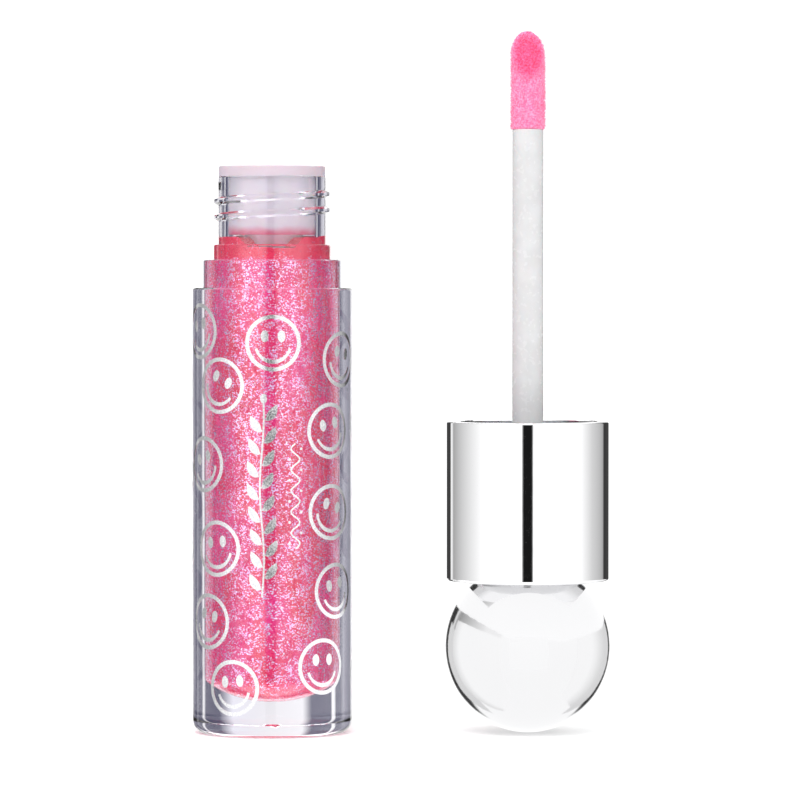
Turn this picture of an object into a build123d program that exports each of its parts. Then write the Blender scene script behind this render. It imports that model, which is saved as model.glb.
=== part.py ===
from build123d import *
import math
import os

# Lip gloss tube: a clear threaded bottle with its wiper and fill, and beside it the unscrewed cap,
# which stands upside down on its ball with the wand pointing up. Millimetres, +Z up. The origin is
# on the bottle's axis, in the plane that both halves stand on.
#
# The cap's pieces are drawn in the cap's own frame, as it sits on the closed bottle: z = 0 at the
# open rim, the ball towards +Z and the wand towards -Z. CAP_PLACE then stands them on the ball.

# ---- bottle -------------------------------------------------------------------------------------
BODY_R = 10.0
BODY_TOP = 55.7          # the closed cap's rim sits here
SHOULDER_R = 8.66        # spigot that the cap's rim slides over
SHOULDER_H = 3.5
COLLAR_R = 7.33
COLLAR_H = 1.9
NECK_R = 6.73            # root of the thread
NECK_H = 8.5
BORE_R = 5.5             # inside of the bottle
FLOOR_Z = 4.1            # lowest point of the cavity
FLOOR_SPHERE_R = 7.5     # round floor of the cavity
FLOOR_CORNER_R = 1.0     # where that floor meets the bore
FOOT_CORNER_R = 1.6      # round edge around the foot
EDGE_R = 0.2             # round edges of the steps and the rim
BODY_EDGE_R = 0.35       # round edge at the body's top
RECESS_R = 6.6           # shallow dish that leaves a ring to stand on
RECESS_H = 0.3
GATE_R = 1.75            # cone-shaped dimple at the moulding gate
GATE_TOP_R = 0.65
GATE_H = 1.3

# ---- thread, right-handed -----------------------------------------------------------------------
PITCH = 2.0
CREST_R = 7.28
RIDGE_ROOT_W = 1.1       # width of the ridge at the wall that carries it
RIDGE_CREST_W = 0.45
RIDGE_SINK = 0.15        # how far a ridge reaches into that wall
THREAD_Z = 65.46         # height of the bottle's ridge on the +X side
THREAD_FIRST_TURN = -0.6
THREAD_LAST_TURN = 1.5
RUN_OUT_STEP = 0.03      # height of the ridge left at its faded ends
RUN_OUT_H = 1.8          # taller than the ridge and less than the pitch

# ---- wiper --------------------------------------------------------------------------------------
FLANGE_R = 6.66
FLANGE_H = 1.3
PLUG_R = 5.48            # fits the bore
PLUG_Z = 62.3            # lower end of the plug
WIPER_BORE_R = 3.9
FUNNEL_TOP = 64.3        # the wiper's bore is straight above this height
WIPER_END = 60.0
LIP_H = 0.6              # straight stretch of the orifice
ORIFICE_R = 2.1
LIP_WALL = 0.5

# ---- fill ---------------------------------------------------------------------------------------
FILL_GAP = 0.03          # clearance from the bottle and the wiper
FILL_TOP = 59.9          # level under the wiper
FILL_WALL_TOP = 62.2     # level around the wiper's funnel

# ---- cap, in its own frame ----------------------------------------------------------------------
CAP_X = 32.0             # where the unscrewed cap stands
CAP_R = 10.3
CAP_WALL = 1.35
CAP_LENGTH = 20.0
CAP_END_WALL = 1.5
CAP_EDGE_R = 0.4
SPIGOT_R = 5.0           # hollow spigot that carries the ball
SPIGOT_H = 6.0
SPIGOT_WALL = 1.4
BALL_R = 10.4            # the ball is slightly taller than wide
BALL_HALF_H = 10.8
BALL_CENTRE = 28.2
FIT = 0.02               # radial clearance of pieces that are pressed or glued together

INNER_START = 3.9        # the inner cap starts this far inside the rim
INNER_BORE_R = 7.6
INNER_RIDGE_R = 6.98
INNER_RIDGE_Z = 8.7      # height of that ridge's start
INNER_RIDGE_TURNS = 1.75
SEAT_Z = 16.2            # plane that the gasket lies on
CORING_IN_R = 3.6        # annular pocket in the inner cap's closed end
CORING_OUT_R = 7.4
CORING_H = 1.2
GASKET_R = 7.3
GASKET_HOLE_R = 2.75
GASKET_T = 0.9
GASKET_GAP = 0.02

STEM_R = 1.95
STEM_END = -36.5
STEM_SOCKET = 18.0       # bottom of the wand's socket in the inner cap
STEM_COLLAR_R = 2.5
STEM_COLLAR_Z = 13.0
STEM_COLLAR_TOP = 16.1
STEM_EDGE_R = 0.15

TIP_END = -48.9
TIP_HALF_W = 2.4         # flocked applicator, across
TIP_HALF_T = 2.05        # flocked applicator, front to back
TIP_NOSE_H = 3.4         # length of its round end
FLOCK_T = 0.45           # depth of the flock
SLANT_LENGTH = 6.0       # length of the slanted face
SLANT_DEPTH = 2.3        # how far that face cuts in at the tip
PEG_R = 1.0              # peg of the applicator's core in the stem's end
PEG_H = 6.0

# ---- what follows from them ---------------------------------------------------------------------
SHOULDER_TOP = BODY_TOP + SHOULDER_H
COLLAR_TOP = SHOULDER_TOP + COLLAR_H
NECK_TOP = COLLAR_TOP + NECK_H
FLANGE_TOP = NECK_TOP + FLANGE_H
CAP_INNER_R = CAP_R - CAP_WALL
CAP_END = CAP_LENGTH - CAP_END_WALL
RIM_Z = BALL_CENTRE + BALL_HALF_H
CAP_PLACE = Pos(CAP_X, 0, RIM_Z) * Rot(0, 180, 0)
# Closed, the cap's rim sits at BODY_TOP, and its ridge runs midway between the bottle's turns.
INNER_THREAD_Z = THREAD_Z - BODY_TOP + PITCH / 2


def turned(*corners):
    """Solid of revolution about Z. A corner is (radius, height) or (radius, height, edge radius)."""
    points = [(corner[0], corner[1]) for corner in corners]
    rounds = [corner[2] if len(corner) > 2 else 0 for corner in corners]
    outline = FilletPolyline(*points, radius=rounds, close=True)
    return revolve(Plane.XZ * make_face(outline), Axis.Z)


def ridge(root_r, crest_r, height_at_zero, first_turn, last_turn):
    """Thread ridge of trapezoid section. height_at_zero is its height at angle 0 in turn 0."""
    buried_r = root_r + math.copysign(RIDGE_SINK, root_r - crest_r)
    section = Polyline(
        (buried_r, -RIDGE_ROOT_W / 2),
        (crest_r, -RIDGE_CREST_W / 2),
        (crest_r, RIDGE_CREST_W / 2),
        (buried_r, RIDGE_ROOT_W / 2),
        close=True,
    )
    path = Helix(PITCH, PITCH * (last_turn - first_turn), root_r)
    swept = sweep(Plane.XZ * make_face(section), path, is_frenet=True)
    start = Pos(0, 0, height_at_zero + PITCH * first_turn) * Rot(0, 0, 360 * first_turn)
    return start * swept


def run_out(turn):
    """Block with a flat face near the neck. Cut from the ridge's end, it makes the ridge fade out."""
    depth = 2 * (CREST_R - NECK_R)
    block = Box(depth, CREST_R, RUN_OUT_H, align=(Align.MIN, Align.CENTER, Align.CENTER))
    turned_to = Pos(0, 0, THREAD_Z + PITCH * turn) * Rot(0, 0, 360 * turn)
    return turned_to * Pos(NECK_R + RUN_OUT_STEP, 0, 0) * block


def cavity(gap, top):
    """Round-floored bore of the bottle up to a height, made smaller all round by a gap."""
    radius = BORE_R - gap
    sphere_r = FLOOR_SPHERE_R - gap
    centre_z = FLOOR_Z + FLOOR_SPHERE_R
    corner_align = (Align.MIN, Align.MIN)
    column = Pos(0, FLOOR_Z - 1) * Rectangle(radius, top - FLOOR_Z + 1, align=corner_align)
    above = Pos(0, centre_z) * Rectangle(sphere_r, top, align=corner_align)
    half = column & (Pos(0, centre_z) * Circle(sphere_r) + above)
    wall_foot = half.vertices().group_by(Axis.X)[-1].sort_by(Axis.Y)[0]
    half = fillet(wall_foot, FLOOR_CORNER_R)
    return revolve(Plane.XZ * half, Axis.Z)


def make_bottle():
    """Thick-walled clear bottle in one piece, with its thread."""
    outside = turned(
        (0, GATE_H),
        (GATE_TOP_R, GATE_H, EDGE_R),
        (GATE_R, RECESS_H),
        (RECESS_R, RECESS_H),
        (RECESS_R + RECESS_H, 0),
        (BODY_R, 0, FOOT_CORNER_R),
        (BODY_R, BODY_TOP, BODY_EDGE_R),
        (SHOULDER_R, BODY_TOP),
        (SHOULDER_R, SHOULDER_TOP, EDGE_R),
        (COLLAR_R, SHOULDER_TOP),
        (COLLAR_R, COLLAR_TOP, EDGE_R),
        (NECK_R, COLLAR_TOP),
        (NECK_R, NECK_TOP, EDGE_R),
        (0, NECK_TOP),
    )
    thread = ridge(NECK_R, CREST_R, THREAD_Z, THREAD_FIRST_TURN, THREAD_LAST_TURN)
    for end in (THREAD_FIRST_TURN, THREAD_LAST_TURN):
        thread -= run_out(end)
    return outside + thread - cavity(0, NECK_TOP + 1)


def make_wiper():
    """Plug in the neck, with a flange on the rim and a funnel to the orifice that wipes the stem."""
    lip_r = ORIFICE_R + LIP_WALL
    return turned(
        (WIPER_BORE_R, FLANGE_TOP, EDGE_R),
        (FLANGE_R, FLANGE_TOP, EDGE_R),
        (FLANGE_R, NECK_TOP),
        (PLUG_R, NECK_TOP),
        (PLUG_R, PLUG_Z, EDGE_R),
        (WIPER_BORE_R, PLUG_Z),
        (lip_r, WIPER_END),
        (ORIFICE_R, WIPER_END),
        (ORIFICE_R, WIPER_END + LIP_H),
        (WIPER_BORE_R, FUNNEL_TOP),
    )


def make_gloss():
    """Fill of the bottle, up to the wiper and around its funnel."""
    lip_r = ORIFICE_R + LIP_WALL + FILL_GAP
    funnel_r = WIPER_BORE_R + FILL_GAP
    around_funnel = turned(
        (0, FILL_TOP),
        (lip_r, FILL_TOP),
        (funnel_r, PLUG_Z),
        (funnel_r, NECK_TOP),
        (0, NECK_TOP),
    )
    return cavity(FILL_GAP, FILL_WALL_TOP) - around_funnel


def make_cap_shell():
    """Plated sleeve with a closed end and a hollow spigot that carries the ball."""
    spigot_top = CAP_LENGTH + SPIGOT_H
    return turned(
        (CAP_INNER_R, 0, EDGE_R),
        (CAP_R, 0, EDGE_R),
        (CAP_R, CAP_LENGTH, CAP_EDGE_R),
        (SPIGOT_R, CAP_LENGTH),
        (SPIGOT_R, spigot_top, EDGE_R),
        (0, spigot_top),
        (0, spigot_top - SPIGOT_WALL),
        (SPIGOT_R - SPIGOT_WALL, spigot_top - SPIGOT_WALL),
        (SPIGOT_R - SPIGOT_WALL, CAP_END),
        (CAP_INNER_R, CAP_END),
    )


def make_ball_knob():
    """Ball cut flat where it meets the cap, with a blind hole for the spigot."""
    tall = 2 * BALL_HALF_H
    half = Pos(0, BALL_CENTRE) * Ellipse(BALL_R, BALL_HALF_H)
    half &= Pos(0, CAP_LENGTH) * Rectangle(tall, tall, align=(Align.MIN, Align.MIN))
    ball = revolve(Plane.XZ * half, Axis.Z)
    hole_end = CAP_LENGTH + SPIGOT_H + FIT
    hole_r = SPIGOT_R + FIT
    return ball - turned((0, CAP_LENGTH - 1), (hole_r, CAP_LENGTH - 1), (hole_r, hole_end), (0, hole_end))


def make_inner_cap():
    """Liner cap with the female thread, the gasket's seat and the wand's socket."""
    outer_r = CAP_INNER_R - FIT
    socket_r = STEM_R + FIT
    body = turned(
        (INNER_BORE_R, INNER_START, EDGE_R),
        (outer_r, INNER_START, EDGE_R),
        (outer_r, CAP_END),
        (CORING_OUT_R, CAP_END),
        (CORING_OUT_R, CAP_END - CORING_H),
        (CORING_IN_R, CAP_END - CORING_H),
        (CORING_IN_R, CAP_END),
        (0, CAP_END),
        (0, STEM_SOCKET),
        (socket_r, STEM_SOCKET),
        (socket_r, SEAT_Z),
        (INNER_BORE_R, SEAT_Z),
    )
    first_turn = (INNER_RIDGE_Z - INNER_THREAD_Z) / PITCH
    last_turn = first_turn + INNER_RIDGE_TURNS
    return body + ridge(INNER_BORE_R, INNER_RIDGE_R, INNER_THREAD_Z, first_turn, last_turn)


def make_seal_gasket():
    """Soft ring between the inner cap and the wiper's flange."""
    top = SEAT_Z - GASKET_GAP
    return turned(
        (GASKET_HOLE_R, top - GASKET_T, EDGE_R),
        (GASKET_R, top - GASKET_T, EDGE_R),
        (GASKET_R, top),
        (GASKET_HOLE_R, top),
    )


def make_stem():
    """Wand, with a collar below its socket and a hole for the applicator's peg."""
    hole_r = PEG_R + FIT
    hole_end = STEM_END + PEG_H + FIT
    return turned(
        (hole_r, STEM_END),
        (STEM_R, STEM_END, STEM_EDGE_R),
        (STEM_R, STEM_COLLAR_Z),
        (STEM_COLLAR_R, STEM_COLLAR_Z, EDGE_R),
        (STEM_COLLAR_R, STEM_COLLAR_TOP, EDGE_R),
        (STEM_R, STEM_COLLAR_TOP),
        (STEM_R, STEM_SOCKET),
        (0, STEM_SOCKET),
        (0, hole_end),
        (hole_r, hole_end),
    )


def applicator_form(skin):
    """Doe-foot shape: an oval rod with a round nose and a slanted front face, thinner by a skin."""
    half_w = TIP_HALF_W - skin
    half_t = TIP_HALF_T - skin
    nose_z = TIP_END + TIP_NOSE_H
    nose = Pos(0, 0, nose_z) * scale(Sphere(1), by=(half_w, half_t, TIP_NOSE_H - skin))
    rod = Pos(0, 0, nose_z) * extrude(Ellipse(half_w, half_t), STEM_END - nose_z)
    form = rod + nose
    front_y = -TIP_HALF_T
    slant = Polyline(
        (front_y, TIP_END + SLANT_LENGTH),
        (front_y + SLANT_DEPTH, TIP_END),
        (front_y + SLANT_DEPTH, TIP_END - SLANT_LENGTH),
        (front_y - SLANT_DEPTH, TIP_END - SLANT_LENGTH),
        (front_y - SLANT_DEPTH, TIP_END + SLANT_LENGTH),
        close=True,
    )
    wedge = extrude(Plane.YZ * make_face(slant), 2 * TIP_HALF_W, both=True)
    inwards = skin / math.hypot(1, SLANT_DEPTH / SLANT_LENGTH)
    return form - Pos(0, inwards, 0) * wedge


def make_applicator_core():
    """Plastic core of the applicator, with its peg in the stem."""
    peg = Pos(0, 0, STEM_END) * Cylinder(PEG_R, PEG_H, align=(Align.CENTER, Align.CENTER, Align.MIN))
    return applicator_form(FLOCK_T) + peg


def make_applicator_flock():
    """Layer of flock around the core."""
    return applicator_form(0) - applicator_form(FLOCK_T)


BOTTLE_PIECES = {
    "bottle": make_bottle,
    "wiper": make_wiper,
    "gloss": make_gloss,
}
CAP_PIECES = {
    "cap_shell": make_cap_shell,
    "ball_knob": make_ball_knob,
    "inner_cap": make_inner_cap,
    "seal_gasket": make_seal_gasket,
    "stem": make_stem,
    "applicator_core": make_applicator_core,
    "applicator_flock": make_applicator_flock,
}

os.makedirs("parts", exist_ok=True)
for node, make in BOTTLE_PIECES.items():
    export_step(make(), f"parts/{node}.step")
for node, make in CAP_PIECES.items():
    export_step(CAP_PLACE * make(), f"parts/{node}.step")
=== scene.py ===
import math
import random

import bpy
import numpy as np
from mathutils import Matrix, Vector


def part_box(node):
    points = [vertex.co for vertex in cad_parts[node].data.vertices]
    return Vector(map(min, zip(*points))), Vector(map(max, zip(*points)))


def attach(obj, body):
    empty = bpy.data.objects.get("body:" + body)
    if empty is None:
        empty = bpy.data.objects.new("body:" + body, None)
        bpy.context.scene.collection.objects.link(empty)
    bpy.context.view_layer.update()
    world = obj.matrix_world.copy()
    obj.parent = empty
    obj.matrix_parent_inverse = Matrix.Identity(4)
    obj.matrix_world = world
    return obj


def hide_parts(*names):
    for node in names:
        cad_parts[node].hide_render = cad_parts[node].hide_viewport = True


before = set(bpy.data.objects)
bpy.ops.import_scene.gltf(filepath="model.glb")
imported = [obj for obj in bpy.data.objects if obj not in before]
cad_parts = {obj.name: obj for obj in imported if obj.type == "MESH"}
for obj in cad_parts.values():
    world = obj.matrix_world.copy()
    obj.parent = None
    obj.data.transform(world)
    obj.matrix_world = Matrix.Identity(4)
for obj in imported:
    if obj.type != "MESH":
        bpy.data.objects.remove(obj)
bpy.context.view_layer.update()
SEED = 7

# ---- sizes, in millimetres, from the frame where it holds them ----------------------------------
MM = 0.001


def box_mm(node):
    """Lowest and highest corner of a CAD node, in millimetres."""
    low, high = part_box(node)
    return [value / MM for value in low], [value / MM for value in high]


BODY_R = box_mm("bottle")[1][0]
NECK_TOP = box_mm("bottle")[1][2]
CAP_X = (box_mm("ball_knob")[0][0] + box_mm("ball_knob")[1][0]) / 2
STEM_TOP = box_mm("stem")[1][2]
TIP_TOP = box_mm("applicator_flock")[1][2]
TIP_HALF_W = (box_mm("applicator_flock")[1][0] - box_mm("applicator_flock")[0][0]) / 2
TIP_HALF_T = (box_mm("applicator_flock")[1][1] - box_mm("applicator_flock")[0][1]) / 2
SHELL_LOW_Z = box_mm("ball_knob")[1][2]  # the standing cap's sleeve ends on the ball's cut top
SHOULDER_TOP = NECK_TOP - 10.4
FOOT_TOP = 5.0                   # the gel is reddest below this height
FILL_WALL_TOP = NECK_TOP - 7.4   # level around the wiper's funnel
FILL_TOP = NECK_TOP - 9.7        # level under the wiper
FUNNEL_R = 3.93                  # just outside the wiper's funnel, at its upper end
CAVITY_R = 5.5                   # the bottle's bore
CAVITY_FLOOR = 4.1               # the bore's lowest point
CAVITY_SPHERE_R = 7.5            # its floor is part of a sphere
WET = 0.03                       # the fill reaches this far into the wall, so that no air shows


# ---- mesh helpers -------------------------------------------------------------------------------
def new_piece(name, verts_mm, faces, smooth=True, sharp_degrees=None):
    """Mesh object from vertices in millimetres."""
    mesh = bpy.data.meshes.new(name)
    mesh.from_pydata([tuple(float(c) * MM for c in v) for v in verts_mm], [], faces)
    mesh.validate()
    if smooth:
        mesh.shade_smooth()
    if sharp_degrees:
        mesh.set_sharp_from_angle(angle=math.radians(sharp_degrees))
    piece = bpy.data.objects.new(name, mesh)
    bpy.context.collection.objects.link(piece)
    return piece


def lathe(name, outline, shape, steps=128, sharp_degrees=40):
    """Solid of revolution about the Z axis. The outline's (radius, height) points start and end on
    the axis and run with the solid on their left. shape(angle, radius, height) bends each point."""
    verts, rings = [], []
    for radius, height in outline:
        if radius == 0.0:
            rings.append([len(verts)])
            verts.append((0.0, 0.0, height))
            continue
        ring = []
        for k in range(steps):
            angle = 2 * math.pi * k / steps
            r, z = shape(angle, radius, height)
            ring.append(len(verts))
            verts.append((r * math.cos(angle), r * math.sin(angle), z))
        rings.append(ring)
    faces = []
    for lower, upper in zip(rings, rings[1:]):
        for k in range(steps):
            nxt = (k + 1) % steps
            if len(lower) == 1:
                faces.append((lower[0], upper[nxt], upper[k]))
            elif len(upper) == 1:
                faces.append((lower[k], lower[nxt], upper[0]))
            else:
                faces.append((lower[k], lower[nxt], upper[nxt], upper[k]))
    piece = new_piece(name, verts, faces, sharp_degrees=sharp_degrees)
    weighted = piece.modifiers.new("even shading", "WEIGHTED_NORMAL")
    weighted.keep_sharp = True
    return piece


def place(piece, body, slot, material, *replaced):
    """Give a piece its body and material, and hide the CAD nodes that it stands for. The slot argument
    is not used.
    """
    piece.data.materials.clear()
    piece.data.materials.append(material)
    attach(piece, body)
    if replaced:
        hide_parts(*replaced)


# ---- material helpers ---------------------------------------------------------------------------
def add_node(tree, kind, properties=(), **inputs):
    """New node. Inputs are values or sockets; a name may be a number after an underscore."""
    node = tree.nodes.new(kind)
    for key, value in dict(properties).items():
        setattr(node, key, value)
    for key, value in inputs.items():
        slot = node.inputs[int(key[1:])] if key[0] == "_" else node.inputs[key]
        if isinstance(value, bpy.types.NodeSocket):
            tree.links.new(value, slot)
        else:
            slot.default_value = value
    return node


class Material:
    """Node material with one Principled shader, and shorthand for its texture nodes."""

    def __init__(self, name, **settings):
        self.data = bpy.data.materials.new(name)
        self.data.use_nodes = True
        self.tree = self.data.node_tree
        self.tree.nodes.clear()
        self.shader = self.tree.nodes.new("ShaderNodeBsdfPrincipled")
        output = self.tree.nodes.new("ShaderNodeOutputMaterial")
        self.join(self.shader.outputs["BSDF"], output.inputs["Surface"])
        for key, value in settings.items():
            self.shader.inputs[key.replace("_", " ")].default_value = value

    def join(self, output, target):
        """Link a socket to an input of the shader, by its name, or to any other socket."""
        socket = self.shader.inputs[target] if isinstance(target, str) else target
        self.tree.links.new(output, socket)

    def add(self, kind, properties=(), **inputs):
        return add_node(self.tree, kind, properties, **inputs)

    def place_mm(self, stretch=(1, 1, 1)):
        """The point on the object, in millimetres, with each axis scaled by stretch."""
        where = self.add("ShaderNodeTexCoord").outputs["Object"]
        scale = tuple(s / MM for s in stretch)
        return self.add("ShaderNodeVectorMath", {"operation": "MULTIPLY"}, _0=where, _1=scale).outputs[0]

    def noise(self, per_mm, detail=2.0, stretch=(1, 1, 1), rough=0.5):
        """Noise value, with a number of features for each millimetre."""
        node = self.add("ShaderNodeTexNoise", Vector=self.place_mm(stretch), Scale=per_mm,
                        Detail=detail, Roughness=rough)
        return node.outputs["Fac"]

    def cells(self, per_mm, output):
        """One output of a cell texture, with a number of cells for each millimetre."""
        node = self.add("ShaderNodeTexVoronoi", Vector=self.place_mm(), Scale=per_mm)
        return node.outputs[output]

    def math(self, operation, a, b=0.5, c=0.5):
        """Result of one sum on values or sockets."""
        return self.add("ShaderNodeMath", {"operation": operation}, _0=a, _1=b, _2=c).outputs[0]

    def spread(self, value, low, high, to_low=0.0, to_high=1.0):
        """Map low..high to to_low..to_high, smoothly and held at both ends."""
        node = self.add("ShaderNodeMapRange", {"interpolation_type": "SMOOTHSTEP"},
                        _0=value, _1=low, _2=high, _3=to_low, _4=to_high)
        return node.outputs[0]

    def mix(self, factor, first, second):
        """Colour between first and second."""
        node = self.add("ShaderNodeMix", {"data_type": "RGBA"}, _0=factor, _6=first, _7=second)
        return node.outputs[2]

    def bump(self, height, depth_mm):
        """Bump of a real depth into the shader's normal."""
        node = self.add("ShaderNodeBump", Height=height, Distance=depth_mm * MM, Strength=1.0)
        self.join(node.outputs["Normal"], "Normal")


def rgb(red, green, blue):
    """Linear colour of a colour given as 0..255 values on screen."""
    def linear(value):
        share = value / 255
        return share / 12.92 if share <= 0.04045 else ((share + 0.055) / 1.055) ** 2.4
    return (linear(red), linear(green), linear(blue), 1.0)


# ---- materials ----------------------------------------------------------------------------------
def clear_plastic():
    """Thick clear PETG: polished, with slow moulding waves and a few fine rubs."""
    m = Material("clear_plastic", Base_Color=rgb(250, 248, 254), IOR=1.53, Transmission_Weight=1.0)
    rubs = m.noise(3.0, detail=4.0, stretch=(1, 1, 0.12))
    m.join(m.spread(rubs, 0.62, 0.8, 0.0, 0.05), "Roughness")
    m.bump(m.noise(0.25, detail=1.0, stretch=(1, 1, 0.4)), 0.02)
    return m.data


def wiper_plastic():
    """Natural LDPE: milky, with a soft moulded skin, stained with gloss around the plug's lower end.
    From the neck's top up, the flange is coloured a greyer lilac than the plug inside the bottle:
    painted shade.
    """
    m = Material("wiper_plastic", IOR=1.3, Transmission_Weight=0.35, Subsurface_Weight=0.2,
                 Subsurface_Scale=1.0 * MM)
    where = m.add("ShaderNodeSeparateXYZ", Vector=m.place_mm())
    ripple = m.math("MULTIPLY", m.noise(0.8, detail=2.0), 0.8)
    level = m.math("SUBTRACT", where.outputs[2], ripple)
    creep = m.spread(level, FILL_WALL_TOP - 0.3, FILL_WALL_TOP + 1.0, 0.9, 0.0)
    across = m.math("MULTIPLY", where.outputs[0], where.outputs[0])
    out = m.math("MULTIPLY_ADD", where.outputs[1], where.outputs[1], across)
    outside = m.spread(out, FUNNEL_R ** 2, (FUNNEL_R + 0.8) ** 2, 0.12, 1.0)
    stain = m.math("MULTIPLY", creep, outside)
    # painted shade: from the neck's top up, the flange gets a greyer lilac than the near-white plug
    # inside the bottle
    shaded_flange = m.spread(where.outputs[2], NECK_TOP - 0.2, NECK_TOP + 0.1)
    milk_and_flange_shade = m.mix(shaded_flange, rgb(255, 251, 254), rgb(222, 208, 218))
    m.join(m.mix(stain, milk_and_flange_shade, rgb(246, 64, 124)), "Base Color")
    m.join(m.spread(m.noise(2.0, detail=3.0), 0.3, 0.7, 0.3, 0.42), "Roughness")
    m.bump(m.noise(6.0, detail=3.0), 0.01)
    return m.data


# Lines where the gel has settled, as (height, left end, right end) in millimetres.
SETTLING_LINES = ((14.4, -5.2, 0.6), (10.0, -3.2, 3.0))
FLAKES_PER_MM = 8.0
FLAKE_LEAN = 0.17        # how far a flake's normal strays from the wall's


def settling_line(m, where, level, left, right):
    """Thin wavy line on the front, where the gel has lost its pearl: 1 on the line, 0 beside it."""
    wave = m.spread(m.noise(0.5, detail=2.0, stretch=(1, 1, 0.2)), 0.3, 0.7, -0.6, 0.6)
    height = m.math("ADD", m.math("SUBTRACT", where.outputs[2], level), wave)
    line = m.spread(m.math("ABSOLUTE", height), 0.05, 0.3, 0.8, 0.0)
    across = m.math("MULTIPLY", m.spread(where.outputs[0], left - 1.0, left + 0.5),
                    m.spread(where.outputs[0], right - 0.5, right + 1.0, 1.0, 0.0))
    front = m.spread(where.outputs[1], -1.0, 0.0, 1.0, 0.0)
    return m.math("MULTIPLY", m.math("MULTIPLY", line, across), front)


def gloss_fill():
    """Hot pink gel full of pearly flakes that lie nearly along the wall and mirror the studio.
    Near the collar and in the foot there is less pearl, and the gel is redder."""
    m = Material("gloss_fill", IOR=1.5, Coat_Weight=1.0, Coat_Roughness=0.05)
    where = m.add("ShaderNodeSeparateXYZ", Vector=m.place_mm())
    high = m.spread(where.outputs[2], SHOULDER_TOP - 0.6, SHOULDER_TOP + 0.6)
    low = m.spread(where.outputs[2], FOOT_TOP, FOOT_TOP + 2.5, 0.7, 0.0)
    clear = m.math("MAXIMUM", high, low)
    swirl = m.noise(0.35, detail=4.0, stretch=(1, 1, 0.3), rough=0.6)
    pink = m.mix(m.spread(swirl, 0.35, 0.68), rgb(234, 8, 82), rgb(240, 34, 132))
    gel = m.mix(clear, pink, rgb(250, 24, 84))
    flake = m.cells(FLAKES_PER_MM, "Color")
    pick = m.add("ShaderNodeSeparateColor", Color=flake)
    cloud = m.spread(m.noise(1.3, detail=3.0, stretch=(1, 1, 0.5)), 0.35, 0.65, -0.16, 0.1)
    thin = m.math("SUBTRACT", cloud, m.math("MULTIPLY", clear, 0.3))
    for level, left, right in SETTLING_LINES:
        thin = m.math("SUBTRACT", thin, settling_line(m, where, level, left, right))
    pearly = m.spread(m.math("ADD", pick.outputs[0], thin), 0.55, 0.9)
    pearl = m.mix(m.spread(pick.outputs[1], 0.5, 0.9), rgb(238, 196, 242), rgb(238, 234, 255))
    m.join(m.mix(pearly, gel, pearl), "Base Color")
    m.join(m.spread(pearly, 0.0, 1.0, 0.06, 0.9), "Metallic")
    m.join(m.spread(pick.outputs[1], 0.0, 1.0, 0.24, 0.36), "Roughness")
    tilt = m.add("ShaderNodeVectorMath", {"operation": "SUBTRACT"}, _0=flake, _1=(0.5, 0.5, 0.5))
    tilt = m.add("ShaderNodeVectorMath", {"operation": "SCALE"}, _0=tilt.outputs[0], _3=FLAKE_LEAN)
    normal = m.add("ShaderNodeNewGeometry").outputs["Normal"]
    leaning = m.add("ShaderNodeVectorMath", {"operation": "ADD"}, _0=normal, _1=tilt.outputs[0])
    turned = m.add("ShaderNodeVectorMath", {"operation": "NORMALIZE"}, _0=leaning.outputs[0])
    m.join(turned.outputs[0], "Normal")
    return m.data


def plated(name, colour, low_rough, high_rough):
    """Bright plating with faint polishing marks."""
    m = Material(name, Base_Color=colour, Metallic=1.0)
    m.join(m.spread(m.noise(1.2, detail=5.0), 0.35, 0.75, low_rough, high_rough), "Roughness")
    m.bump(m.noise(0.35, detail=2.0), 0.003)
    return m.data


def moulded_plastic(name, colour, low_rough, high_rough, grain_mm=0.006):
    """Opaque moulded plastic with a fine grain and a slightly uneven sheen."""
    m = Material(name, IOR=1.48, Subsurface_Weight=0.15, Subsurface_Scale=0.8 * MM)
    tone = m.noise(0.4, detail=3.0)
    shade = tuple(c * 0.93 for c in colour[:3]) + (1.0,)
    m.join(m.mix(m.spread(tone, 0.3, 0.7), shade, colour), "Base Color")
    m.join(m.spread(m.noise(1.5, detail=4.0), 0.35, 0.7, low_rough, high_rough), "Roughness")
    m.bump(m.noise(9.0, detail=3.0), grain_mm)
    return m.data


def seal_foam():
    """Closed-cell liner."""
    m = Material("seal_foam", Roughness=0.8)
    cell = m.cells(7.0, "Distance")
    m.join(m.mix(m.spread(cell, 0.1, 0.6), rgb(214, 212, 206), rgb(240, 239, 234)), "Base Color")
    m.bump(cell, 0.03)
    return m.data


SOAKED_BELOW_TIP = 3.0   # middle of the soaked oval on the slanted face
SOAKED_HALF_W = 2.0
SOAKED_HALF_H = 3.4


def flock_pink():
    """Flock, pink with gloss, deeper where the slanted face has soaked up more."""
    m = Material("flock_pink", Roughness=0.5, Sheen_Weight=0.4)
    strand = m.noise(4.5, detail=3.0)
    tufts = m.spread(strand, 0.35, 0.65)
    pale = m.mix(tufts, rgb(244, 104, 158), rgb(250, 158, 196))
    soaked = m.mix(tufts, rgb(232, 48, 108), rgb(246, 98, 152))
    where = m.add("ShaderNodeSeparateXYZ", Vector=m.place_mm())
    across = m.math("DIVIDE", m.math("SUBTRACT", where.outputs[0], CAP_X), SOAKED_HALF_W)
    middle = TIP_TOP - SOAKED_BELOW_TIP
    along = m.math("DIVIDE", m.math("SUBTRACT", where.outputs[2], middle), SOAKED_HALF_H)
    far = m.math("ADD", m.math("MULTIPLY", across, across), m.math("MULTIPLY", along, along))
    front = m.spread(where.outputs[1], -0.4, 0.8, 1.0, 0.25)
    wet = m.math("MULTIPLY", m.spread(far, 0.35, 1.25, 1.0, 0.0), front)
    m.join(m.mix(wet, pale, soaked), "Base Color")
    return m.data


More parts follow.
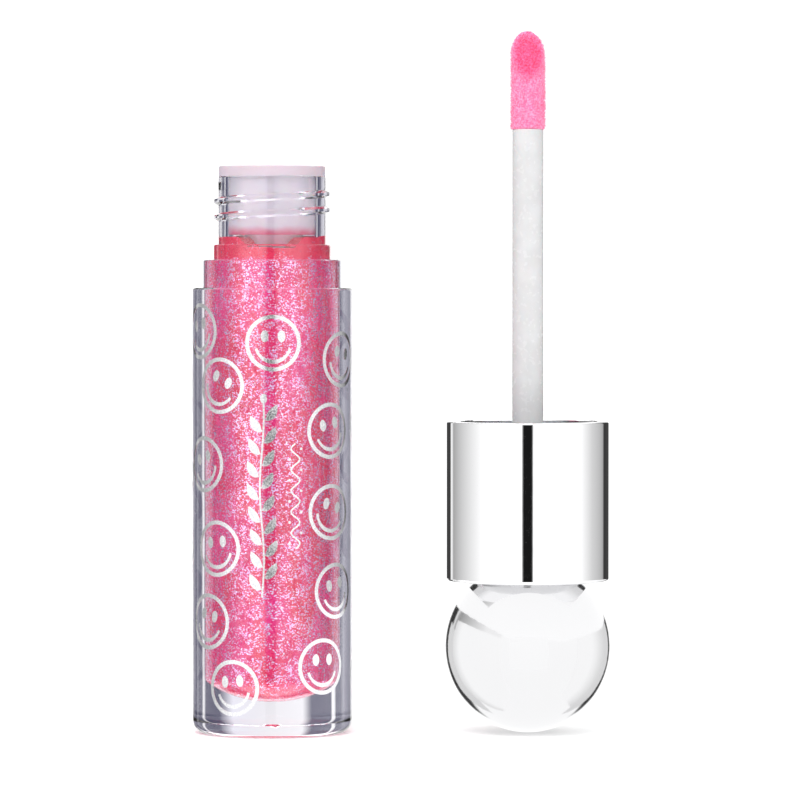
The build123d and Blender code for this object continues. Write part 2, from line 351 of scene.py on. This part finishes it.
def silver_foil():
    """Hot-stamped foil, with small uneven spots in its shine."""
    m = Material("silver_foil", Metallic=1.0)
    worn = m.noise(5.0, detail=4.0)
    m.join(m.mix(m.spread(worn, 0.4, 0.7), rgb(228, 228, 232), rgb(252, 252, 252)), "Base Color")
    m.join(m.spread(worn, 0.35, 0.7, 0.16, 0.26), "Roughness")
    m.bump(m.noise(3.0, detail=3.0), 0.004)
    return m.data


# ---- stage, light and camera --------------------------------------------------------------------
# Brightness of the studio by azimuth in degrees: 0 is behind the camera, positive to its right.
# A narrow black flag stands in front, and dark ones stand behind on both sides.
STUDIO = [
    (-180, 1.25), (-163, 1.25), (-159, 0.06), (-141, 0.04), (-138, 0.9), (-134, 0.9), (-131, 0.46),
    (-108, 0.52), (-90, 0.72), (-74, 0.97), (-60, 1.25), (-10, 1.25), (-8, 0.01), (5, 0.01), (7, 1.25),
    (70, 1.25), (85, 0.92), (101, 0.66), (121, 0.50), (129, 0.40), (133, 0.04), (155, 0.06),
    (159, 1.25), (180, 1.25),
]
# What rays see that leave the clear plastic: a strong softbox on the left, a weaker one on the right,
# and behind, a wide bright middle and a narrow bright strip on each side, with dark between them.
STUDIO_THROUGH = [
    (-180, 0.93), (-163, 1.0), (-158, 0.12), (-142, 0.08), (-141, 1.0), (-138, 1.0), (-137, 0.08),
    (-130, 0.05), (-124, 0.36), (-104, 0.38), (-95, 0.6), (-84, 1.0), (-70, 2.0), (-18, 2.2),
    (-10, 0.5), (8, 0.4), (20, 1.7), (70, 1.7), (88, 0.9), (98, 0.6), (106, 0.5), (113, 0.10),
    (122, 0.05), (129, 0.05), (130, 0.9), (133, 0.9), (134, 0.06), (150, 0.05), (155, 0.4), (160, 0.85),
    (180, 0.93),
]
STUDIO_TOP = 1.25        # brightness overhead and underneath
THROUGH_TOP = 2.0        # the same for the rays that leave through the clear plastic
BRIGHTEST = 2.6          # the ramps hold shares of this
DIM = 0.9                # parts below this are dim
DARK_TINT = 0.06         # added to the blue of the dim parts that those rays see
FRONT_FLAG_DEG = 20      # the front flag lies inside this azimuth on both sides
FLAG_HEIGHT = 0.1        # sine of the elevation where the front flag ends, above and below
SIDE_FLAG_HEIGHT = 0.6   # and where the others do
FLOOR_HALF = 3000.0
FLOOR_GLOW = 0.16
BALL_CARD_TOP = 16.5     # below the lowest reflections in the cap's shell
CARD_LOW = -30.0         # the ball's cards reach below the floor, which reflections don't see
CARD_FRONT = -25.0
CARD_BACK = 15.0
CARD_REACH = 45.0        # the cards over the ball reach this far from its axis
LENS_MM = 238.0
SENSOR_MM = 36.0
CAMERA_AT = (0.016, -0.662, 0.058)   # this and the next in metres
CAMERA_AIM = (0.016, 0.0, 0.0417)


def add_world():
    """White studio with the flags above, seen by everything but the camera's own rays."""
    world = bpy.data.worlds.new("studio")
    world.use_nodes = True
    bpy.context.scene.world = world
    tree = world.node_tree
    tree.nodes.clear()

    def add(kind, properties=(), **inputs):
        return add_node(tree, kind, properties, **inputs)

    def mix(factor, first, second):
        return add("ShaderNodeMix", {"data_type": "RGBA"}, _0=factor, _6=first, _7=second).outputs[2]

    def even(brightness):
        return (brightness / BRIGHTEST,) * 3 + (1.0,)

    def ramp(stops, tint=0.0):
        node = add("ShaderNodeValToRGB", Fac=around)
        elements = node.color_ramp.elements
        while len(elements) < len(stops):
            elements.new(1.0)
        for element, (degrees, value) in zip(elements, stops):
            element.position = degrees / 360 + 0.5
            blue = value + (tint if value < DIM else 0.0)
            element.color = (value / BRIGHTEST, value / BRIGHTEST, blue / BRIGHTEST, 1)
        return node.outputs["Color"]

    def fade(height):
        return add("ShaderNodeMapRange", {"interpolation_type": "SMOOTHSTEP"},
                   _0=level.outputs[0], _1=height * 0.8, _2=height).outputs[0]

    axis = add("ShaderNodeSeparateXYZ", Vector=add("ShaderNodeTexCoord").outputs["Generated"])
    behind = add("ShaderNodeMath", {"operation": "MULTIPLY"}, _0=axis.outputs[1], _1=-1.0)
    azimuth = add("ShaderNodeMath", {"operation": "ARCTAN2"}, _0=axis.outputs[0], _1=behind.outputs[0])
    around = add("ShaderNodeMath", {"operation": "MULTIPLY_ADD"}, _0=azimuth.outputs[0],
                 _1=1 / (2 * math.pi), _2=0.5).outputs[0]
    level = add("ShaderNodeMath", {"operation": "ABSOLUTE"}, _0=axis.outputs[2])
    no_front_flag = [stop if abs(stop[0]) > FRONT_FLAG_DEG else (stop[0], STUDIO_TOP) for stop in STUDIO]
    low = mix(fade(FLAG_HEIGHT), ramp(STUDIO), ramp(no_front_flag))
    path = add("ShaderNodeLightPath")
    through = path.outputs["Is Transmission Ray"]
    sides = mix(through, low, ramp(STUDIO_THROUGH, DARK_TINT))
    overhead = mix(through, even(STUDIO_TOP), even(THROUGH_TOP))
    sky = mix(fade(SIDE_FLAG_HEIGHT), sides, overhead)
    shown = mix(path.outputs["Is Camera Ray"], sky, even(STUDIO_TOP))
    background = add("ShaderNodeBackground", Color=shown, Strength=BRIGHTEST)
    add("ShaderNodeOutputWorld", Surface=background.outputs[0])


def add_floor():
    """Plain pale floor."""
    low, high = -FLOOR_HALF, FLOOR_HALF
    corners = [(low, low, 0), (high, low, 0), (high, high, 0), (low, high, 0)]
    floor = new_piece("floor", corners, [(0, 1, 2, 3)], smooth=False)
    m = Material("floor_white", Base_Color=(0.9, 0.9, 0.9, 1), Roughness=0.6,
                 Emission_Color=(1, 1, 1, 1), Emission_Strength=FLOOR_GLOW)
    floor.data.materials.append(m.data)
    floor.visible_glossy = False
    floor.visible_transmission = False


def add_card(name, corners, strength, one_sided=False):
    """White card that only reflections see. Its brightness follows Y, from strength's first pair of
    (place in Y, brightness) to its second. A one-sided card is clear from behind."""
    card = new_piece(name, corners, [(0, 1, 2, 3)], smooth=False)
    m = Material(name, Base_Color=(0, 0, 0, 1), Roughness=1.0, Emission_Color=(1, 1, 1, 1))
    (from_y, from_value), (to_y, to_value) = strength
    along = m.add("ShaderNodeSeparateXYZ", Vector=m.place_mm()).outputs[1]
    fade = m.add("ShaderNodeMapRange", _0=along, _1=from_y, _2=to_y, _3=from_value, _4=to_value)
    m.join(fade.outputs[0], "Emission Strength")
    if one_sided:
        behind = m.add("ShaderNodeNewGeometry").outputs["Backfacing"]
        m.join(m.math("SUBTRACT", 1.0, behind), "Alpha")
    card.data.materials.append(m.data)
    card.visible_camera = False
    card.visible_diffuse = False
    card.visible_transmission = False
    card.visible_shadow = False


def add_cards():
    """White cards for the plating: one hides the bottle from the shell, and the others light the
    ball from both sides and above, and hide the front flag from it."""
    between, shell_card_back = CAP_X / 2, 1.2
    left, right = CAP_X - 38.0, CAP_X + 30.0
    beside = 21.0            # the cards behind the ball start this far from its axis
    gap = 8.0                # the hole for the ball in the cards over it, measured from its axis
    over = SHELL_LOW_Z - 0.2

    def upright(name, start, end, low, high, strength):
        corners = [(*start, low), (*end, low), (*end, high), (*start, high)]
        add_card(name, corners, strength)

    def even(y, value):
        return (y - 1, value), (y + 1, value)

    front, back = (between, CARD_FRONT), (between, shell_card_back)
    upright("card_shell", front, back, BALL_CARD_TOP, NECK_TOP, ((-13.8, 1.1), (shell_card_back, 0.36)))
    upright("card_ball_left", front, back, CARD_LOW, BALL_CARD_TOP,
            ((-3.0, 1.22), (shell_card_back, 0.92)))
    upright("card_ball_right", (right, -16.0), (right, CARD_BACK), CARD_LOW, BALL_CARD_TOP,
            ((-2.5, 1.22), (11.6, 0.9)))
    for name, from_x, to_x, y, low, value in (
        ("card_ball_front", CAP_X - BODY_R, CAP_X + BODY_R, CARD_FRONT, 0.5, STUDIO_TOP),
        ("card_back_left", left, CAP_X - beside, CARD_BACK, CARD_LOW, 0.85),
        ("card_back_right", CAP_X + beside, right, CARD_BACK, CARD_LOW, 0.85),
    ):
        upright(name, (from_x, y), (to_x, y), low, BALL_CARD_TOP, even(y, value))
    for name, from_x, to_x, near, far in (
        ("card_over_left", between, CAP_X - gap, -CARD_REACH, CARD_REACH),
        ("card_over_right", CAP_X + gap, CAP_X + CARD_REACH, -CARD_REACH, CARD_REACH),
        ("card_over_front", CAP_X - gap, CAP_X + gap, -CARD_REACH, -gap),
        ("card_over_back", CAP_X - gap, CAP_X + gap, gap, CARD_REACH),
    ):
        face_down = [(from_x, near, over), (from_x, far, over), (to_x, far, over), (to_x, near, over)]
        add_card(name, face_down, even(near, STUDIO_TOP), one_sided=True)


def add_softbox(name, at_mm, aim_mm, width_mm, watts):
    """Square area light aimed at a point."""
    light = bpy.data.lights.new(name, "AREA")
    light.shape = "SQUARE"
    light.size = width_mm * MM
    light.energy = watts
    lamp = bpy.data.objects.new(name, light)
    lamp.location = Vector(at_mm) * MM
    lamp.rotation_mode = "QUATERNION"
    lamp.rotation_quaternion = (Vector(aim_mm) - Vector(at_mm)).to_track_quat("-Z", "Y")
    lamp.visible_glossy = False
    bpy.context.collection.objects.link(lamp)


def add_camera():
    """Camera almost level with the bottle's shoulder."""
    data = bpy.data.cameras.new("camera")
    data.lens = LENS_MM
    data.sensor_width = SENSOR_MM
    data.clip_start = 0.05
    data.clip_end = 20.0
    camera = bpy.data.objects.new("camera", data)
    camera.location = CAMERA_AT
    camera.rotation_mode = "QUATERNION"
    camera.rotation_quaternion = (Vector(CAMERA_AIM) - Vector(CAMERA_AT)).to_track_quat("-Z", "Y")
    bpy.context.collection.objects.link(camera)
    bpy.context.scene.camera = camera


def set_up_scene():
    """Plain view of colours, and enough bounces for the thick clear walls."""
    scene = bpy.context.scene
    scene.view_settings.view_transform = "Standard"
    scene.view_settings.look = "None"
    scene.cycles.max_bounces = 20
    scene.cycles.transmission_bounces = 16
    scene.cycles.glossy_bounces = 8
    scene.cycles.transparent_max_bounces = 16


# ---- the fill -----------------------------------------------------------------------------------
LIP_R = 2.63             # just outside the wiper's lip, where the level meets it
FLOOR_CORNER_R = 1.0     # round corner between the cavity's floor and its wall
FLOOR_STEPS = 16
CORNER_STEPS = 6
WALL_STEPS = 29
EDGE_STEPS = 11
FRONT_TOP = FILL_TOP + 0.75  # level at the front, below the wiper's shoulder
FRONT_LOW_DEG = 26.0     # it stays low this far round from the front
FRONT_RISE_DEG = 20.0    # and rises over this much more
STEADY_BELOW = 58.0      # the fill's side is plain below this height


def make_gloss():
    """The fill, in touch with the bottle's wall, with an uneven upper edge."""
    radius = CAVITY_R + WET
    sphere_r = CAVITY_SPHERE_R + WET
    centre_z = CAVITY_FLOOR + CAVITY_SPHERE_R
    inner_r = radius - FLOOR_CORNER_R
    # The corner's centre lies inside both the wall and the sphere by the corner's radius.
    drop = math.sqrt((sphere_r - FLOOR_CORNER_R) ** 2 - inner_r ** 2)
    corner_z = centre_z - drop
    corner_end = math.atan2(-drop, inner_r)
    outline = [(0.0, centre_z - sphere_r)]
    for k in range(1, FLOOR_STEPS + 1):
        angle = -math.pi / 2 + (corner_end + math.pi / 2) * k / FLOOR_STEPS
        outline.append((sphere_r * math.cos(angle), centre_z + sphere_r * math.sin(angle)))
    for k in range(1, CORNER_STEPS + 1):
        angle = corner_end * (1 - k / CORNER_STEPS)
        point = (inner_r + FLOOR_CORNER_R * math.cos(angle), corner_z + FLOOR_CORNER_R * math.sin(angle))
        outline.append(point)
    wall = np.linspace(corner_z, STEADY_BELOW, WALL_STEPS + 1)[1:]
    edge = np.linspace(STEADY_BELOW, FILL_WALL_TOP, EDGE_STEPS + 1)[1:]
    for z in (*wall, *edge):
        outline.append((radius, float(z)))
    outline += [(FUNNEL_R, FILL_WALL_TOP), (LIP_R, FILL_TOP), (0.0, FILL_TOP)]
    slope = (FUNNEL_R - LIP_R) / (FILL_WALL_TOP - FILL_TOP)

    def creeping(angle, r, z):
        """Pull the top down at the front, where the wiper's funnel shows, and make its edge wavy."""
        from_front = abs((math.degrees(angle) + 90 + 180) % 360 - 180)
        rise = min(1.0, max(0.0, (from_front - FRONT_LOW_DEG) / FRONT_RISE_DEG))
        rise = rise * rise * (3 - 2 * rise)
        wave = 0.1 * math.sin(3 * angle + 0.6) + 0.06 * math.sin(7 * angle + 2.0)
        top = FRONT_TOP + (FILL_WALL_TOP - 0.1 - FRONT_TOP) * rise + wave
        if z > STEADY_BELOW and r > LIP_R + 0.1:
            z = STEADY_BELOW + (z - STEADY_BELOW) * (top - STEADY_BELOW) / (FILL_WALL_TOP - STEADY_BELOW)
            if r < CAVITY_R - 0.5:
                r = LIP_R + slope * (z - FILL_TOP)
        return r, z

    return lathe("gloss_gel", outline, creeping)


# ---- the foil print -----------------------------------------------------------------------------
FOIL_T = 0.02            # top of the foil above the wall
FOIL_GAP = 0.001         # and its underside
ICON_R = 3.5             # outer radius of an icon's ring
STROKE = 0.5             # width of its ring
SMILE_R = 0.63 * ICON_R
SMILE_FROM_DEG = 197
SMILE_TO_DEG = 343
SMILE_STEPS = 24
# Icons on the front as (degrees from the front towards +X, height, tilt in degrees).
FRONT_ICONS = [
    (2, 48.9, 0), (-62, 50.3, 10), (60, 46.8, -10), (-39, 43.6, -25), (-56, 33.8, 15), (47, 38.0, 10),
    (48, 27.9, -15), (-42, 23.4, 5), (-51, 14.3, -10), (53, 18.1, 10), (40, 8.8, 0), (-28, 6.2, 5),
]
BACK_COLUMNS = (100, 138, 222, 260)  # degrees; the middle of the back is plain
BACK_ROWS = 5
BACK_LOWEST = 8.0        # height of the lowest row there
BACK_STEP = 10.2
BACK_SHIFT = 4.6         # every second column stands this much higher
BACK_HIGHEST = 52.0


class FoilSheet:
    """Flat shapes in (across, up) millimetres, wrapped on the bottle as thin closed solids."""

    def __init__(self):
        self.verts, self.faces = [], []

    def point(self, across, up, lift):
        angle = across / BODY_R - math.pi / 2
        radius = BODY_R + lift
        self.verts.append((radius * math.cos(angle), radius * math.sin(angle), up))
        return len(self.verts) - 1

    def strip(self, line, half_widths, closed=False):
        """Ribbon along a line of (across, up) points, with a half width at each."""
        rings = []
        count = len(line)
        for k, (x, y) in enumerate(line):
            before = line[(k - 1) % count] if closed else line[max(k - 1, 0)]
            after = line[(k + 1) % count] if closed else line[min(k + 1, count - 1)]
            dx, dy = after[0] - before[0], after[1] - before[1]
            length = math.hypot(dx, dy)
            nx, ny = -dy / length * half_widths[k], dx / length * half_widths[k]
            rings.append([
                self.point(x - nx, y - ny, FOIL_GAP), self.point(x - nx, y - ny, FOIL_T),
                self.point(x + nx, y + ny, FOIL_T), self.point(x + nx, y + ny, FOIL_GAP),
            ])
        pairs = list(zip(rings, rings[1:]))
        if closed:
            pairs.append((rings[-1], rings[0]))
        for one, two in pairs:
            for a in range(4):
                b = (a + 1) % 4
                self.faces.append((one[a], one[b], two[b], two[a]))
        if not closed:
            self.faces.append(tuple(reversed(rings[0])))
            self.faces.append(tuple(rings[-1]))

    def spot(self, x, y, half_w, half_h, turn=0.0, sides=20):
        """Filled oval."""
        low, high = [], []
        for k in range(sides):
            angle = 2 * math.pi * k / sides
            u, v = half_w * math.cos(angle), half_h * math.sin(angle)
            across = x + u * math.cos(turn) - v * math.sin(turn)
            up = y + u * math.sin(turn) + v * math.cos(turn)
            low.append(self.point(across, up, FOIL_GAP))
            high.append(self.point(across, up, FOIL_T))
        top, bottom = self.point(x, y, FOIL_T), self.point(x, y, FOIL_GAP)
        for k in range(sides):
            nxt = (k + 1) % sides
            self.faces.append((low[k], low[nxt], high[nxt], high[k]))
            self.faces.append((high[k], high[nxt], top))
            self.faces.append((low[nxt], low[k], bottom))


def add_icon(sheet, degrees, up, tilt):
    """Ring with two spots and a curve: a plain smiling face."""
    across = math.radians(degrees) * BODY_R
    turn = math.radians(tilt)

    def at(u, v):
        """Point at (u, v) from the icon's middle, once the icon is tilted."""
        x = across + u * math.cos(turn) - v * math.sin(turn)
        return x, up + u * math.sin(turn) + v * math.cos(turn)

    middle_r = ICON_R - STROKE / 2
    round_trip = np.linspace(0, 2 * math.pi, 64, endpoint=False)
    ring = [at(middle_r * math.cos(a), middle_r * math.sin(a)) for a in round_trip]
    sheet.strip(ring, [STROKE / 2] * len(ring), closed=True)
    for side in (-1, 1):
        x, y = at(side * 0.30 * ICON_R, 0.24 * ICON_R)
        sheet.spot(x, y, 0.14 * ICON_R, 0.21 * ICON_R, turn)
    angles = np.linspace(math.radians(SMILE_FROM_DEG), math.radians(SMILE_TO_DEG), SMILE_STEPS)
    smile = [at(SMILE_R * math.cos(a), SMILE_R * math.sin(a) * 1.05) for a in angles]
    widths = []
    for k in range(SMILE_STEPS):
        share = math.sin(math.pi * k / (SMILE_STEPS - 1))
        widths.append(STROKE / 2 * max(0.5, share) ** 0.5)
    sheet.strip(smile, widths)


def add_sprig(sheet, across, low, high, leaf_pairs):
    """Upright sprig with pairs of leaves."""
    def bend(y):
        return across + 0.25 * math.sin((y - low) * 0.35)

    stem_half, leaf_half, leaf_out, leaf_up = 0.11, 0.52, 1.5, 1.9
    heights = np.linspace(low, high, 60)
    sheet.strip([(bend(y), y) for y in heights], [stem_half] * len(heights))
    step = (high - low) / (leaf_pairs + 0.6)
    for k in range(leaf_pairs):
        base = low + step * (k + 0.35)
        for side in (-1, 1):
            start = base + (0.5 * step if side > 0 else 0.0)
            spine, widths = [], []
            for t in np.linspace(0, 1, 14):
                out = 0.12 + leaf_out * t ** 0.8
                spine.append((bend(start) + side * out, start + leaf_up * t ** 1.4))
                widths.append(leaf_half * math.sin(math.pi * t) ** 0.8 + 0.02)
            sheet.strip(spine, widths)
    sheet.spot(bend(high), high + 0.55, 0.42, 0.6)


def add_wave(sheet, across, low, high, waves):
    """Thin upright wavy line with a spot in each bend."""
    swing, half_width, spot_out, spot_r = 0.55, 0.1, 0.75, 0.17
    line = []
    for t in np.linspace(0, 1, 24 * waves):
        line.append((across + swing * math.sin(2 * math.pi * waves * t), low + (high - low) * t))
    sheet.strip(line, [half_width] * len(line))
    for k in range(2 * waves):
        side = 1 if k % 2 else -1
        up = low + (high - low) * (k + 0.5) / (2 * waves)
        sheet.spot(across + side * spot_out, up, spot_r, spot_r, sides=12)


def make_foil():
    """Icons all round, and two ornaments at the front."""
    sheet = FoilSheet()
    for degrees, up, tilt in FRONT_ICONS:
        add_icon(sheet, degrees, up, tilt)
    draw = random.Random(SEED)
    for column, degrees in enumerate(BACK_COLUMNS):
        for row in range(BACK_ROWS):
            shift = BACK_SHIFT if column % 2 else 0
            up = BACK_LOWEST + BACK_STEP * row + shift + draw.uniform(-0.8, 0.8)
            if up < BACK_HIGHEST:
                add_icon(sheet, degrees + draw.uniform(-4, 4), up, draw.uniform(-20, 20))
    add_sprig(sheet, across=math.radians(-6) * BODY_R, low=17.5, high=41.5, leaf_pairs=8)
    add_wave(sheet, across=math.radians(18) * BODY_R, low=23.5, high=36.5, waves=5)
    return new_piece("foil_print", sheet.verts, sheet.faces, sharp_degrees=30)


# ---- the flocked applicator ---------------------------------------------------------------------
NOSE_H = 3.4             # length of the round nose
SLANT_H = 6.0            # length of the slanted face
SLANT_IN = 2.3           # how far it cuts in at the tip
SLANT_SOFT = 0.12        # share of its roundness that the slanted face keeps
PILE = 0.34              # depth of the loose fibres outside the matted base
FIBRES = 9000
FIBRE_R = 0.022          # half a fibre's thickness at its root
FIBRE_LEAN = 0.45        # how far fibres stray from straight out
FIBRE_LIFT = 0.25        # and how far they all lean to the tip
FIBRE_ROOT = 0.05        # depth of a fibre's root in the base


def make_applicator_base():
    """Matted body of the flock: an oval rod with a round nose and a slanted, softened front."""
    length = TIP_TOP - STEM_TOP
    rows, around = 56, 64
    verts, faces = [], []
    for i in range(rows + 1):
        h = length * math.sin(math.pi / 2 * i / rows)
        nose = max(0.0, (h - (length - NOSE_H)) / NOSE_H)
        swell = math.sqrt(max(0.0, 1 - nose ** 2.2))
        half_w = (TIP_HALF_W - PILE) * swell
        half_t = (TIP_HALF_T - PILE) * swell
        slant = max(0.0, (h - (length - SLANT_H)) / SLANT_H)
        face_y = -TIP_HALF_T + PILE + SLANT_IN * slant ** 1.15
        for k in range(around):
            angle = 2 * math.pi * k / around
            x, y = half_w * math.cos(angle), half_t * math.sin(angle)
            if y < face_y:
                y = face_y + SLANT_SOFT * (y - face_y)
            verts.append((CAP_X + x - 0.12 * nose, y, STEM_TOP + h * (1 - 0.1 / length)))
    for i in range(rows):
        for k in range(around):
            nxt = (k + 1) % around
            a, b = i * around, (i + 1) * around
            faces.append((a + k, a + nxt, b + nxt, b + k))
    faces.append(tuple(reversed(range(around))))
    faces.append(tuple(range(rows * around, (rows + 1) * around)))
    return new_piece("flock_base", verts, faces)


def make_fibres(base):
    """Short loose fibres standing on the matted base, as thin three-sided spikes."""
    draw = np.random.default_rng(SEED)
    mesh = base.data
    mesh.calc_loop_triangles()
    points = np.array([v.co[:] for v in mesh.vertices]) / MM
    corners = np.array([t.vertices[:] for t in mesh.loop_triangles])
    a, b, c = points[corners[:, 0]], points[corners[:, 1]], points[corners[:, 2]]
    cross = np.cross(b - a, c - a)
    area = np.linalg.norm(cross, axis=1)
    outward = cross / np.maximum(area, 1e-12)[:, None]
    area[outward[:, 2] < -0.9] = 0.0
    picked = draw.choice(len(area), FIBRES, p=area / area.sum())
    u, v = draw.random((2, FIBRES))
    flip = u + v > 1
    u[flip], v[flip] = 1 - u[flip], 1 - v[flip]
    root = a[picked] + u[:, None] * (b - a)[picked] + v[:, None] * (c - a)[picked]
    lean = draw.normal(0, FIBRE_LEAN, (FIBRES, 3)) + np.array([0, 0, FIBRE_LIFT])
    way = outward[picked] + lean
    way /= np.linalg.norm(way, axis=1)[:, None]
    length = PILE * draw.uniform(0.75, 1.3, FIBRES)
    root = root - FIBRE_ROOT * outward[picked]
    tip = root + way * length[:, None]
    tip[:, 2] = np.minimum(tip[:, 2], TIP_TOP)
    side = np.cross(way, draw.normal(0, 1, (FIBRES, 3)))
    side /= np.linalg.norm(side, axis=1)[:, None]
    other = np.cross(way, side)
    verts = np.empty((FIBRES, 4, 3))
    for k in range(3):
        angle = 2 * math.pi * k / 3
        verts[:, k] = root + FIBRE_R * (math.cos(angle) * side + math.sin(angle) * other)
    verts[:, 3] = tip
    start = 4 * np.arange(FIBRES)
    faces = []
    for one, two, three in ((0, 1, 3), (1, 2, 3), (2, 0, 3), (2, 1, 0)):
        faces.append(np.stack([start + one, start + two, start + three], axis=1))
    return new_piece("flock_fibres", verts.reshape(-1, 3), np.concatenate(faces).tolist(), smooth=False)


# ---- put together -------------------------------------------------------------------------------
def paint(node, material):
    """New material on a CAD node that keeps its shape."""
    mesh_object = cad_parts[node]
    for material_slot in mesh_object.material_slots:
        material_slot.material = material


set_up_scene()
add_world()
add_floor()
add_cards()
add_softbox("top_light", at_mm=(-60, -150, 420), aim_mm=(10, 0, 40), width_mm=300, watts=1.0)
add_camera()

paint("bottle", clear_plastic())
paint("wiper", wiper_plastic())
paint("cap_shell", plated("plated_shell", rgb(254, 254, 255), 0.02, 0.05))
paint("ball_knob", plated("plated_ball", rgb(224, 224, 225), 0.09, 0.13))
paint("inner_cap", moulded_plastic("white_plastic", rgb(218, 218, 220), 0.35, 0.5))
paint("seal_gasket", seal_foam())
paint("stem", moulded_plastic("stem_plastic", rgb(202, 202, 203), 0.18, 0.3, 0.003))
paint("applicator_core", moulded_plastic("core_plastic", rgb(244, 240, 242), 0.25, 0.4))

gel = make_gloss()
place(gel, "bottle", "gloss_fill", gloss_fill(), "gloss")
foil = make_foil()
place(foil, "bottle", "clear_plastic", silver_foil())
flock = flock_pink()
flock_base = make_applicator_base()
fibres = make_fibres(flock_base)
place(flock_base, "cap", "flock", flock, "applicator_flock")
place(fibres, "cap", "flock", flock)
